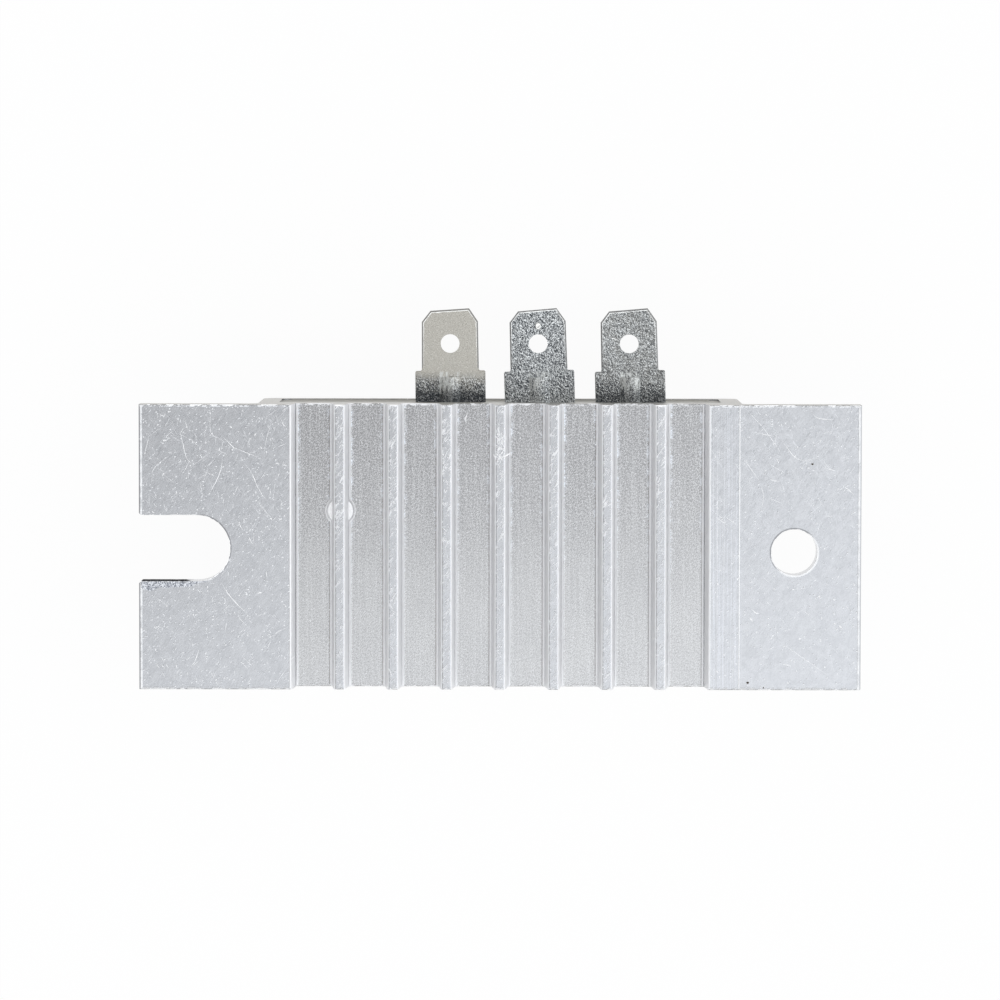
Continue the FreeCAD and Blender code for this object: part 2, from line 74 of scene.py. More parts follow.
SLOT_END_X = -33.97
SLOT_Y = -0.13
SLOT_HALF = 3.725
HOLE_X = 33.0
HOLE_Y = -0.5
HOLE_HALF = 2.6
RIVET_HALF = 1.6
RIB_RISE = 0.45
RIB_WIDTH = 2.3
BLADE_HALF = 4.0
LEG_FACE_Y = 9.3
BLADE_LEGS_X = {"terminal_left": -5.6, "terminal_middle": 4.73, "terminal_right": 15.06}
BLADE_LEANS = {"terminal_left": 0.6, "terminal_middle": 1.8, "terminal_right": 1.6}
SHEET = 0.8
RESIN_SAG = 0.15

# Burrs, scratches and other small marks, in millimetres
UP = Vector((0.0, 0.0, 1.0))
SHARP_ANGLE = math.radians(60)
BURR_SPACING = 0.14
BURR_FOOT = 0.16
BURR_RISE = 0.07
BURR_SINK = 0.01
SCRATCH_SPACING = 0.25
SCRATCH_RISE = 0.012
SCRATCH_SINK = 0.004
DRAWN_WIDTH = 1.3
STRAY_EDGE = 0.4
TIP_REACH = 0.4
GROOVE_REACH = 1.7
# Random scratches of a flange: how many, the longest, the widest, and the lowest Y that they reach
LEFT_STRAYS = [(420, 1.3, 0.08, -16.0), (200, 2.4, 0.06, 0.0), (260, 0.25, 0.22, -16.0)]
RIGHT_STRAYS = [(170, 0.25, 0.22, -16.0), (150, 2.0, 0.045, -16.0), (90, 3.0, 0.05, 2.0)]
TEAR_DEPTH = 1.6
TEAR_RISE = 0.07
RIM_FROM_Y = 16.6
RIM_ANGLE = math.radians(20)
RIM_SLOPE = (0.2, 0.95)
RIM_INSET = 0.07
RIM_WIDTH = 0.12
RIVET_SEGMENTS = 48
LIP_SIDES = 6
GRAIN_SIDES = 7
DENT_SIDES = 16
# Section of the dent: reach and rise
DENT_SECTION = [(0.45, -0.01), (0.36, 0.035), (0.26, 0.045), (0.16, 0.01)]
MENISCUS = 0.2
MENISCUS_STEPS = 5
CAVITY_LOW = 1.8
WALL_BEADS = 120
WALL_BEAD_HALF = 24.0
# Section of the bead of resin: places off the wall, and their rise
WALL_SECTION = [(-0.05, -0.5), (-0.05, 0.12), (0.08, 0.06), (0.22, 0.02), (0.4, -0.02), (0.4, -0.5)]
# X and width of each line
DIE_LINES = [(26.83, 0.12), (24.37, 0.05), (25.1, 0.035), (23.9, 0.03)]

# Marks traced from the photograph: a width in millimetres, then the pixels that they pass
PHOTO_SIZE = 1000
LEFT_SCRATCHES = [
    (0.06, [(210.6, 404.8), (210.6, 431.5), (218.9, 438.4), (228.8, 444.3)]),
    (0.12, [(222.9, 436.4), (229.0, 443.0), (236.7, 450.3)]),
    (0.07, [(232.8, 447.3), (247.0, 453.0), (262.4, 459.2)]),
    (0.10, [(244.6, 463.1), (252.5, 475.0), (258.5, 488.8), (266.4, 500.7)]),
    (0.06, [(258.5, 500.7), (265.0, 511.0), (274.3, 520.4)]),
    (0.05, [(272.3, 419.6), (266.4, 439.4), (264.4, 455.2)]),
    (0.08, [(179.4, 428.5), (182.4, 441.4), (187.3, 459.2), (197.2, 466.1)]),
    (0.08, [(222.9, 455.2), (219.9, 473.0), (209.0, 494.7)]),
    (0.06, [(215.0, 459.2), (205.1, 468.1)]),
    (0.06, [(149.8, 433.5), (143.8, 457.2)]),
    (0.06, [(169.5, 455.2), (153.7, 469.0), (151.7, 484.9)]),
    (0.11, [(219.9, 580.7), (230.8, 597.5), (248.6, 615.3)]),
    (0.05, [(224.8, 597.5), (226.8, 609.4)]),
    (0.07, [(236.7, 615.3), (247.6, 627.2)]),
    (0.11, [(199.2, 648.9), (195.2, 660.8), (189.3, 667.7)]),
    (0.06, [(191.0, 667.0), (199.2, 660.8)]),
    (0.10, [(155.7, 662.7), (159.6, 668.7)]),
    (0.10, [(160.6, 664.7), (164.6, 667.7)]),
    (0.09, [(165.6, 663.7), (168.5, 668.7)]),
    (0.05, [(288.1, 627.2), (276.2, 633.1), (272.3, 641.0)]),
    (0.05, [(240.7, 654.8), (252.5, 666.7)]),
    (0.05, [(276.2, 684.5), (286.1, 668.7)]),
    (0.12, [(266.4, 570.8), (266.8, 577.7)]),
    (0.15, [(256.5, 593.6), (262.4, 592.6)]),
    (0.09, [(236.7, 520.4), (243.6, 531.3)]),
    (0.09, [(248.6, 536.2), (252.5, 544.2)]),
    (0.05, [(155.7, 597.5), (167.5, 605.4)]),
    (0.16, [(275.0, 464.0), (279.0, 463.4)]),
    (0.09, [(280.2, 421.6), (286.1, 427.5)]),
]
RIGHT_SCRATCHES = [
    (0.07, [(744.6, 407.9), (761.5, 425.9), (767.5, 433.8), (777.5, 447.8), (783.4, 457.7)]),
    (0.06, [(751.6, 431.8), (775.5, 436.8)]),
    (0.08, [(779.4, 435.8), (791.4, 453.7), (799.4, 459.7), (811.3, 461.7)]),
    (0.08, [(741.6, 456.7), (751.6, 469.7), (759.5, 481.6)]),
    (0.07, [(760.5, 483.6), (763.5, 495.6), (761.5, 509.5)]),
    (0.05, [(767.5, 497.6), (782.4, 503.5)]),
    (0.08, [(713.7, 515.5), (730.6, 527.5)]),
    (0.07, [(723.7, 515.5), (737.6, 525.5)]),
    (0.09, [(725.7, 446.8), (731.6, 451.8)]),
    (0.09, [(811.3, 409.9), (817.3, 417.9), (837.2, 419.9)]),
    (0.06, [(823.3, 467.7), (839.2, 471.7)]),
    (0.09, [(843.2, 485.6), (855.1, 495.6)]),
    (0.08, [(823.3, 515.9), (833.2, 516.3)]),
    (0.05, [(771.5, 637.0), (801.4, 656.9), (835.2, 680.8)]),
    (0.05, [(801.4, 609.1), (811.3, 617.1)]),
    (0.07, [(765.5, 601.2), (770.5, 605.1)]),
    (0.08, [(781.4, 663.9), (791.4, 665.9)]),
    (0.12, [(769.5, 479.6), (779.4, 481.6)]),
    (0.08, [(775.5, 457.7), (779.4, 463.7)]),
    (0.22, [(751.6, 609.1), (755.0, 612.5), (759.5, 614.0)]),
    (0.20, [(749.6, 617.1), (752.6, 622.1)]),
    (0.20, [(838.5, 625.5), (843.0, 629.0)]),
]
FIN_NICKS = [
    (0.09, [(388.9, 603.4), (392.8, 609.4)]),
    (0.12, [(388.5, 668.0), (392.0, 676.0)]),
    (0.08, [(389.7, 462.7), (392.2, 466.5)]),
    (0.09, [(444.5, 442.3), (449.0, 437.8)]),
    (0.09, [(442.5, 527.8), (447.0, 531.6)]),
]
GROOVE_SCRATCHES = [
    (0.17, [(468.1, 411.7), (465.6, 419.3), (467.5, 425.7)]),
    (0.15, [(470.1, 457.0), (473.2, 455.7)]),
    (0.07, [(326.0, 543.0), (328.0, 551.0)]),
]
BLADE_SCRATCHES = [
    (0.14, [(607.0, 337.0), (611.0, 338.0), (615.0, 339.0), (619.0, 341.5)]),
    (0.10, [(603.0, 352.5), (606.5, 354.5)]),
    (0.06, [(628.0, 372.0), (627.0, 392.0)]),
    (0.06, [(444.0, 374.0), (443.0, 394.0)]),
]
DENT = (538.0, 326.0)
DIRT = [((812.5, 464.1), 0.15), ((747.6, 682.8), 0.16), ((763.5, 688.0), 0.1), ((679.0, 642.5), 0.05)]
FIN_SCUFF = (9.2, 12.8)  # from and to in Y, on the middle fin
TEAR_FROM = (141.0, 583.0)
TEAR_TO = (208.0, 583.0)

_, HOUSING_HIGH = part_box("heat_sink_housing")
PLATE_HALF = HOUSING_HIGH.x / MM
DEPTH_HALF = HOUSING_HIGH.y / MM
TOP_Z = HOUSING_HIGH.z / MM
FLOOR_Z = TOP_Z - FIN_HEIGHT


def make_camera():
    """The photograph's camera: high above the fins and a little towards the blades."""
    data = bpy.data.cameras.new("camera")
    data.lens = CAMERA_LENS
    data.sensor_width = SENSOR
    data.clip_start = 0.01
    camera = bpy.data.objects.new("camera", data)
    turn = (
        Matrix.Rotation(CAMERA_ROLL, 3, "Z")
        @ Matrix.Rotation(CAMERA_YAW, 3, "Y")
        @ Matrix.Rotation(CAMERA_PITCH, 3, "X")
    )
    camera.matrix_world = Matrix.Translation(CAMERA_PLACE) @ turn.transposed().to_4x4()
    bpy.context.scene.collection.objects.link(camera)
    bpy.context.scene.camera = camera


class Nodes:
    """Adds shader nodes to a tree. A value is a number, a colour, or another node's output."""

    def __init__(self, tree):
        self.tree = tree

    def add(self, kind, **settings):
        node = self.tree.nodes.new(kind)
        for name, value in settings.items():
            setattr(node, name, value)
        return node

    def put(self, value, socket):
        if isinstance(value, bpy.types.NodeSocket):
            self.tree.links.new(value, socket)
        else:
            socket.default_value = value

    def math(self, operation, a, b=0.0):
        node = self.add("ShaderNodeMath", operation=operation)
        self.put(a, node.inputs[0])
        self.put(b, node.inputs[1])
        return node.outputs[0]

    def total(self, *values):
        result = values[0]
        for value in values[1:]:
            result = self.math("ADD", result, value)
        return result

    def product(self, *values):
        result = values[0]
        for value in values[1:]:
            result = self.math("MULTIPLY", result, value)
        return result

    def highest(self, *values):
        result = values[0]
        for value in values[1:]:
            result = self.math("MAXIMUM", result, value)
        return result

    def step(self, value, low, high, start=0.0, end=1.0):
        """A smooth rise from start to end as value goes from low to high."""
        node = self.add("ShaderNodeMapRange", interpolation_type="SMOOTHSTEP")
        for item, socket in zip((value, low, high, start, end), node.inputs):
            self.put(item, socket)
        return node.outputs[0]

    def band(self, value, middle, half, soft):
        """One near the middle value, zero further off than half + soft."""
        off = self.math("ABSOLUTE", self.math("SUBTRACT", value, middle))
        return self.step(off, half, half + soft, 1.0, 0.0)

    def mix(self, factor, a, b):
        node = self.add("ShaderNodeMix", data_type="RGBA")
        self.put(factor, node.inputs["Factor"])
        self.put(a, node.inputs[6])
        self.put(b, node.inputs[7])
        return node.outputs[2]

    def stretched(self, vector, scale, turn=(0.0, 0.0, 0.0)):
        node = self.add("ShaderNodeMapping")
        self.put(vector, node.inputs["Vector"])
        self.put(turn, node.inputs["Rotation"])
        self.put(scale, node.inputs["Scale"])
        return node.outputs[0]

    def strokes_along(self, angle, share):
        """The object's places, turned about Z and then stretched along the new Y axis."""
        turned = self.stretched(self.place, (1.0, 1.0, 1.0), (0.0, 0.0, angle))
        return self.stretched(turned, (1.0, share, 1.0))

    def noise(self, vector, scale, detail=2.0, roughness=0.5, distortion=0.0):
        node = self.add("ShaderNodeTexNoise")
        self.put(vector, node.inputs["Vector"])
        self.put(scale, node.inputs["Scale"])
        self.put(detail, node.inputs["Detail"])
        self.put(roughness, node.inputs["Roughness"])
        self.put(distortion, node.inputs["Distortion"])
        return node.outputs["Fac"]

    def cells(self, vector, scale):
        """A pattern of cells: the distance from the nearest middle, and a random value for each cell."""
        node = self.add("ShaderNodeTexVoronoi")
        self.put(vector, node.inputs["Vector"])
        self.put(scale, node.inputs["Scale"])
        split = self.add("ShaderNodeSeparateColor")
        self.put(node.outputs["Color"], split.inputs[0])
        return node.outputs["Distance"], split.outputs[0]

    def specks(self, vector, scale, share, size):
        """Small round marks: a share of the cells holds one."""
        distance, chance = self.cells(vector, scale)
        near = self.step(distance, size * 0.5, size, 1.0, 0.0)
        return self.product(near, self.math("LESS_THAN", chance, share))

    def bump(self, height, distance):
        node = self.add("ShaderNodeBump")
        self.put(height, node.inputs["Height"])
        self.put(distance, node.inputs["Distance"])
        self.put(1.0, node.inputs["Strength"])
        return node.outputs[0]


class Surface(Nodes):
    """A material with its Principled shader, and places on the object in millimetres."""

    def __init__(self, name, **values):
        self.material = bpy.data.materials.new(name)
        self.material.use_nodes = True
        super().__init__(self.material.node_tree)
        self.shader = next(node for node in self.tree.nodes if node.type == "BSDF_PRINCIPLED")
        for socket, value in values.items():
            self.set(socket.replace("_", " "), value)
        place = self.add("ShaderNodeTexCoord").outputs["Object"]
        self.place = self.stretched(place, (1 / MM, 1 / MM, 1 / MM))
        split = self.add("ShaderNodeSeparateXYZ")
        self.put(self.place, split.inputs[0])
        self.x, self.y, self.z = split.outputs
        facing = self.add("ShaderNodeSeparateXYZ")
        self.put(self.add("ShaderNodeNewGeometry").outputs["True Normal"], facing.inputs[0])
        self.face_x, self.face_y, self.face_z = facing.outputs

    def set(self, socket, value):
        self.put(value, self.shader.inputs[socket])


def make_aluminium():
    """The extrusion: fine grain, painted highlights and painted shade along its edges, scuffed flanges, drawn
    lines by the right step, sawn ends.
    """
    s = Surface("extruded_aluminium")
    across = s.math("PINGPONG", s.x, FIN_PITCH / 2)
    off_centre = s.math("ABSOLUTE", s.x)
    inside = s.step(off_centre, STEP_FLOOR_X - 0.1, STEP_FLOOR_X + 0.1, 1.0, 0.0)
    on_fins = s.step(off_centre, STEP_FLOOR_X - 1.6, STEP_FLOOR_X - 1.4, 1.0, 0.0)
    upward = s.step(s.face_z, 0.7, 0.9)
    low = s.step(s.z, FLOOR_Z + 0.3, FLOOR_Z + 0.6, 1.0, 0.0)
    high = s.step(s.z, TOP_Z - 0.5, TOP_Z - 0.3)
    near_end = s.step(s.math("ABSOLUTE", s.y), DEPTH_HALF - 0.1, DEPTH_HALF - 0.05)
    sawn = s.product(s.step(s.math("ABSOLUTE", s.face_y), 0.6, 0.8), near_end)
    groove = s.product(inside, s.step(s.face_z, 0.2, 0.5), low)
    fin_top = s.product(on_fins, upward, high)
    flange = s.product(s.math("SUBTRACT", 1.0, inside), upward, high)
    flank = s.product(
        s.step(off_centre, STEP_TOP_X, STEP_TOP_X + 0.1, 1.0, 0.0),
        s.step(s.math("ABSOLUTE", s.face_x), 0.8, 0.9),
        s.step(s.z, FLOOR_Z + 0.3, FLOOR_Z + 0.45),
    )
    upper = s.step(s.y, -10.0, 13.0)

    # Grain and marks
    grain = s.noise(s.strokes_along(0.6, 0.5), 9.5, 1.5, 0.55)
    fine = s.noise(s.place, 7.5, 3.0, 0.7)
    blotch = s.noise(s.place, 0.16, 3.0, 0.6)
    cloud = s.noise(s.place, 0.9, 4.0, 0.65, 0.6)
    drawn = s.noise(s.stretched(s.place, (1.0, 0.01, 1.0)), 5.5, 3.0, 0.7)
    drawn_share = s.product(s.step(s.x, 22.5, 23.4), s.step(s.x, 26.4, 27.4, 1.0, 0.12), upward, high)
    rubbed = s.noise(s.strokes_along(-0.6, 0.3), 1.9, 4.0, 0.75, 1.2)
    scuffed = s.noise(s.strokes_along(0.5, 0.4), 2.6, 4.0, 0.75, 0.8)

    # Painted highlights: white lines along the edges of the section, where the rounded tips, feet and steps
    # catch the light
    tip_edge = s.product(on_fins, high, s.band(across, FIN_TIP / 2 + 0.02, 0.08, 0.06))
    foot = s.step(s.z, FLOOR_Z + 0.35, FLOOR_Z + 0.55, 1.0, 0.0)
    base_edge = s.product(on_fins, s.band(across, FIN_BASE / 2 + 0.11, 0.1, 0.04), foot)
    step_top = s.product(s.band(off_centre, STEP_TOP_X + 0.1, 0.07, 0.07), high)
    step_foot = s.product(s.band(off_centre, STEP_FLOOR_X - 0.16, 0.06, 0.07), low)
    # Painted highlight along each end of the plate, just inside its outer edge
    plate_end = s.band(off_centre, PLATE_HALF - 0.27, 0.07, 0.07)
    plate_end = s.product(plate_end, upward, s.step(cloud, 0.35, 0.6, 0.4, 1.0))
    die_line = s.product(s.band(s.x, DIE_LINES[0][0], 0.04, 0.04), high, s.step(fine, 0.3, 0.5, 0.6, 1.0))
    cut_end = s.step(s.math("ABSOLUTE", s.y), DEPTH_HALF - 0.28, DEPTH_HALF - 0.1)
    ragged = s.step(s.noise(s.place, 1.9, 3.0, 0.7), 0.46, 0.56)
    # Painted sheen beside each fin's foot on the groove floors
    foot_sheen = s.product(groove, s.band(across, FIN_BASE / 2 + 0.2, 0.15, 0.35), s.step(cloud, 0.45, 0.6), upper)
    lines = s.highest(tip_edge, base_edge, step_top, step_foot)
    # The painted highlight lines, broken up by noise, kept above the groove floors and off the sawn ends; the
    # real die line and the painted highlight at the plate's ends join them
    highlight_breakup = s.product(s.step(fine, 0.3, 0.5, 0.85, 1.0), s.step(s.z, FLOOR_Z - 0.2, FLOOR_Z - 0.1))
    lines = s.product(lines, highlight_breakup, s.math("SUBTRACT", 1.0, sawn))
    lines = s.highest(lines, die_line, plate_end)
    finned_side = s.product(upward, s.step(s.z, FLOOR_Z - 1.0, FLOOR_Z - 0.5))
    chewed = s.product(cut_end, ragged, finned_side)
    few = s.highest(s.specks(s.place, 1.3, 0.2, 0.14), s.specks(s.place, 2.7, 0.18, 0.26))
    many = s.highest(s.specks(s.place, 1.7, 0.3, 0.17), s.specks(s.place, 3.1, 0.2, 0.28))
    small = s.highest(few, s.product(many, s.step(s.x, -STEP_TOP_X, -STEP_TOP_X - 1.0)))
    specks = s.product(small, s.step(cloud, 0.4, 0.6, 0.3, 1.0), upward)
    nicks = s.product(fin_top, s.step(scuffed, 0.5, 0.64), s.step(upper, 0.0, 1.0, 0.5, 1.0))
    # Painted highlight lines, together with real bright marks: torn metal at the cut ends, specks and nicks
    bright = s.highest(lines, chewed, specks, s.product(nicks, 0.8))

    # The outermost edge of the plate and of its ends, painted dark: painted shade on the rounded edge
    side_edge = s.step(off_centre, PLATE_HALF - 0.16, PLATE_HALF - 0.1)
    end_edge = s.step(s.math("ABSOLUTE", s.y), DEPTH_HALF - 0.11, DEPTH_HALF - 0.06)
    outer_edge_shade = s.product(s.highest(side_edge, end_edge), finned_side)

    # Rims of the hole and of the slot's round end: painted shade towards the upper left, painted highlight
    # towards the lower right
    from_hole = s.math("SUBTRACT", s.x, HOLE_X)
    above_hole = s.math("SUBTRACT", s.y, HOLE_Y)
    hole_reach = s.math("SQRT", s.total(s.product(from_hole, from_hole), s.product(above_hole, above_hole)))
    from_slot = s.math("SUBTRACT", s.x, SLOT_END_X)
    above_slot = s.math("SUBTRACT", s.y, SLOT_Y)
    slot_reach = s.math("SQRT", s.total(s.product(from_slot, from_slot), s.product(above_slot, above_slot)))
    slot_ring = s.product(s.band(slot_reach, SLOT_HALF + 0.05, 0.06, 0.05), s.step(from_slot, 0.0, 1.0))
    ring = s.highest(s.band(hole_reach, HOLE_HALF + 0.06, 0.08, 0.06), slot_ring)
    lower_right = s.step(s.math("SUBTRACT", s.highest(from_hole, -3.0), above_hole), -1.0, 1.5)
    rim_highlight = s.product(ring, high, lower_right)
    rim_shade = s.product(ring, high, s.math("SUBTRACT", 1.0, lower_right))
    bright = s.highest(bright, s.product(rim_highlight, 0.9))

    # The slot's lower wall, painted near black and without gloss: painted shade, with ragged edges
    slot_wall_shade = s.product(
        s.band(s.y, SLOT_Y - SLOT_HALF, 0.2, 0.1),
        s.step(s.face_y, 0.5, 0.7),
        s.step(fine, 0.3, 0.45, 0.6, 1.0),
        s.step(s.total(s.x, s.product(cloud, 3.0)), SLOT_END_X + 0.3, SLOT_END_X + 1.1, 1.0, 0.0),
        s.step(s.total(s.z, s.product(cloud, 2.0)), TOP_Z - 2.8, TOP_Z - 1.4, 0.35, 1.0),
    )

    plain = s.mix(s.step(cloud, 0.3, 0.7), (0.525, 0.535, 0.555, 1.0), (0.585, 0.595, 0.615, 1.0))
    ground = s.mix(s.step(blotch, 0.3, 0.7), (0.535, 0.538, 0.543, 1.0), (0.57, 0.572, 0.575, 1.0))
    # Groove floors painted darker towards the blades: painted shade
    ground = s.mix(s.product(upper, 0.85), ground, (0.4, 0.4, 0.405, 1.0))
    ribbed = s.noise(s.stretched(s.place, (1.0, 0.02, 1.0)), 4.5, 2.0, 0.6)
    ground = s.mix(s.product(s.step(ribbed, 0.45, 0.65), 0.35), ground, (0.66, 0.665, 0.67, 1.0))
    # Painted sheen: a pale bluish haze beside the fin feet, on the groove floors towards the blades
    ground = s.mix(s.product(foot_sheen, 0.6), ground, (0.8, 0.84, 0.9, 1.0))
    colour = s.mix(groove, plain, ground)
    # Grain in the grooves: the grain is real, its contrast raised towards the blades as painted shade
    contrast = s.product(groove, s.step(upper, 0.0, 1.0, 0.5, 1.0))
    colour = s.mix(s.product(s.step(grain, 0.5, 0.64), contrast, 0.5), colour, (0.8, 0.805, 0.82, 1.0))
    colour = s.mix(s.product(s.step(grain, 0.5, 0.38), contrast, 0.45), colour, (0.24, 0.24, 0.25, 1.0))
    colour = s.mix(s.product(s.step(drawn, 0.44, 0.64), drawn_share, 0.35), colour, (0.75, 0.77, 0.82, 1.0))
    handled = s.product(flange, upper, 0.5)
    colour = s.mix(s.product(s.step(rubbed, 0.54, 0.7), handled), colour, (0.74, 0.75, 0.78, 1.0))
    colour = s.mix(s.product(s.step(scuffed, 0.46, 0.32), handled), colour, (0.36, 0.37, 0.39, 1.0))
    # Fin flanks painted pale and matt: a painted sheen on the faces of the fins
    colour = s.mix(flank, colour, (0.88, 0.88, 0.89, 1.0))
    # Sawn ends: a matt saw-cut finish, tinted warm as a painted reflection
    colour = s.mix(s.product(sawn, 0.8), colour, (0.6, 0.585, 0.55, 1.0))
    # Painted shade on the rims towards the upper left
    colour = s.mix(s.product(rim_shade, 0.7), colour, (0.2, 0.2, 0.21, 1.0))
    # Painted highlights and the real bright marks, near white
    colour = s.mix(s.product(bright, 0.92), colour, (0.97, 0.975, 0.985, 1.0))
    # Painted shade on the plate's outer edge
    colour = s.mix(s.product(outer_edge_shade, 0.7), colour, (0.3, 0.295, 0.285, 1.0))
    # Painted shade on the slot's lower wall, near black
    colour = s.mix(s.product(slot_wall_shade, 0.95), colour, (0.012, 0.012, 0.014, 1.0))
    s.set("Base Color", colour)
    matt = s.highest(s.product(bright, 0.9), s.product(flank, 0.8), slot_wall_shade)
    s.set("Metallic", s.math("SUBTRACT", 1.0, matt))
    s.set("Specular IOR Level", s.step(slot_wall_shade, 0.0, 1.0, 0.5, 0.0))
    rougher = s.total(s.product(groove, 0.02), s.product(fine, 0.03), s.product(sawn, 0.2))
    s.set("Roughness", s.total(0.17, rougher, s.product(matt, 0.3)))

    saw_marks = s.noise(s.stretched(s.place, (0.15, 1.0, 2.2), (0.0, 0.35, 0.0)), 2.6, 3.0, 0.7)
    height = s.total(
        s.product(grain, groove, 0.2),
        s.product(fine, 0.08),
        s.product(scuffed, flange, 0.2),
        s.product(drawn, drawn_share, 0.15),
        s.product(saw_marks, sawn, 2.0),
        s.product(bright, 0.5),
    )
    s.set("Normal", s.bump(height, 0.03 * MM))
    return s.material


def make_plain_metal(name, colour, roughness):
    """A metal with a fine grain and slight blotches."""
    s = Surface(name, Metallic=1.0)
    grain = s.noise(s.place, 4.0, 3.0, 0.6)
    lighter = tuple(min(1.0, value * 1.12) for value in colour)
    s.set("Base Color", s.mix(s.step(grain, 0.35, 0.65), (*colour, 1.0), (*lighter, 1.0)))
    s.set("Roughness", s.step(grain, 0.3, 0.7, roughness - 0.05, roughness + 0.05))
    s.set("Normal", s.bump(grain, 0.02 * MM))
    return s.material


def make_burr():
    """Torn and rubbed metal along cut edges and scratches."""
    s = Surface("bright_burr", Metallic=0.25)
    grain = s.noise(s.place, 6.0, 2.0, 0.6)
    s.set("Base Color", s.mix(grain, (0.9, 0.9, 0.91, 1.0), (1.0, 1.0, 1.0, 1.0)))
    s.set("Roughness", s.step(grain, 0.2, 0.8, 0.35, 0.55))
    return s.material


def make_tin(name, warm, sparkle, shade_left):
    """Dull tin plate with painted shade at the blade's foot. Strokes of painted glint and painted dark
    reflection lie at the foot, and above it as strongly as sparkle says.
    """
    s = Surface(name, Metallic=1.0)
    low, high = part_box(name)
    middle = (low.x + high.x) / 2 / MM
    # Where the strokes' painted glints and dark reflections show: at the foot, and over the blade as strongly
    # as sparkle says
    foot = s.step(s.y, DEPTH_HALF + 1.6, DEPTH_HALF + 3.6, 1.0, 0.0)
    scuffed = s.highest(foot, sparkle)

    # Strokes that lie across each other: scuffs in the tin, some painted bright as glints and some painted
    # dark as reflections
    along = s.noise(s.strokes_along(0.75, 0.4), 13.0, 1.0, 0.5)
    crossing = s.noise(s.strokes_along(-0.6, 0.4), 12.5, 1.0, 0.5)
    strokes = s.highest(along, crossing)
    hollows = s.math("MINIMUM", along, crossing)
    fine = s.noise(s.place, 7.0, 3.0, 0.7)
    patch = s.noise(s.place, 0.7, 3.0, 0.6)
    light = s.step(strokes, 0.57, 0.67)
    dark = s.step(hollows, 0.48, 0.4)

    # Painted shade: the foot of a blade stands in the dark of the mouth, more so beside the rib
    beside = s.step(s.x, middle - 1.0, middle - 1.5)
    near_mouth = s.step(s.y, DEPTH_HALF + 0.5, DEPTH_HALF + 2.3, 1.0, 0.0)
    beside = s.product(beside, s.step(s.y, DEPTH_HALF + 1.4, DEPTH_HALF + 3.6, 1.0, 0.0), 0.6)
    shaded = s.highest(near_mouth, beside)
    shaded = s.product(shaded, shade_left)

    darker = tuple(value * 0.93 for value in warm)
    lighter = tuple(min(1.0, value * 1.1) for value in warm)
    colour = s.mix(s.step(fine, 0.3, 0.7), (*darker, 1.0), (*lighter, 1.0))
    colour = s.mix(s.product(s.step(patch, 0.4, 0.65), scuffed, 0.35), colour, (0.5, 0.53, 0.55, 1.0))
    colour = s.mix(s.product(shaded, 0.95), colour, (0.02, 0.022, 0.028, 1.0))
    # Painted dark reflections in the strokes, then painted glints, dimmed where the painted shade lies
    colour = s.mix(s.product(dark, scuffed, 0.95), colour, (0.04, 0.046, 0.055, 1.0))
    glitter = s.product(light, scuffed, s.step(shaded, 0.2, 1.0, 0.95, 0.35))
    colour = s.mix(glitter, colour, (0.97, 1.0, 1.0, 1.0))

    # The pressed rib, drawn into streaks that carry a painted highlight, dimmer near the mouth
    rib_end = s.step(s.y, DEPTH_HALF + 3.2, DEPTH_HALF + 3.4, 1.0, 0.0)
    on_rib = s.product(s.band(s.x, middle - 0.1, 1.05, 0.2), rib_end)
    streaks = s.noise(s.stretched(s.place, (1.0, 0.12, 1.0)), 3.4, 2.0, 0.6)
    rib_streak_highlight = s.product(on_rib, s.step(streaks, 0.42, 0.6), s.step(near_mouth, 0.3, 1.0, 0.7, 0.15))
    colour = s.mix(rib_streak_highlight, colour, (0.8, 0.82, 0.8, 1.0))

    # Rims, painted dark: painted shade on the bevels that slope away
    sloped = s.product(s.step(s.face_z, 0.2, 0.3), s.step(s.face_z, 0.8, 0.9, 1.0, 0.0))
    rim = s.product(sloped, s.step(s.y, DEPTH_HALF + 3.7, DEPTH_HALF + 3.8))
    colour = s.mix(s.product(rim, 0.8), colour, (0.3, 0.3, 0.3, 1.0))
    s.set("Base Color", colour)
    s.set("Roughness", s.total(0.26, s.product(fine, 0.1), s.product(light, -0.06)))
    height = s.total(s.product(strokes, scuffed, 1.3), s.product(fine, 0.25))
    s.set("Normal", s.bump(height, 0.05 * MM))
    return s.material


def make_torn():
    """Metal torn by a cutter: coarse crystals, some dark, some bright."""
    s = Surface("torn_metal")
    _, crystals = s.cells(s.place, 8.0)
    coarse = s.noise(s.place, 6.5, 3.0, 0.8)
    shade = s.step(s.total(s.product(crystals, 0.5), s.product(coarse, 0.7)), 0.35, 0.85)
    s.set("Base Color", s.mix(shade, (0.22, 0.235, 0.27, 1.0), (0.86, 0.88, 0.92, 1.0)))
    s.set("Metallic", s.step(shade, 0.5, 1.0, 1.0, 0.4))
    s.set("Roughness", s.step(coarse, 0.3, 0.7, 0.25, 0.45))
    s.set("Normal", s.bump(coarse, 0.08 * MM))
    return s.material


def make_resin():
    """Cast epoxy: beige grey, a little glossy, with faint ripples and dust."""
    s = Surface("potting_resin", IOR=1.5)
    ripple = s.noise(s.place, 0.35, 3.0, 0.5)
    dust = s.noise(s.place, 5.0, 4.0, 0.7)
    s.set("Base Color", s.mix(s.step(dust, 0.5, 0.75), (0.46, 0.445, 0.405, 1.0), (0.56, 0.54, 0.49, 1.0)))
    s.set("Roughness", s.step(dust, 0.3, 0.7, 0.4, 0.55))
    s.set("Normal", s.bump(s.total(ripple, s.product(dust, 0.05)), 0.02 * MM))
    return s.material


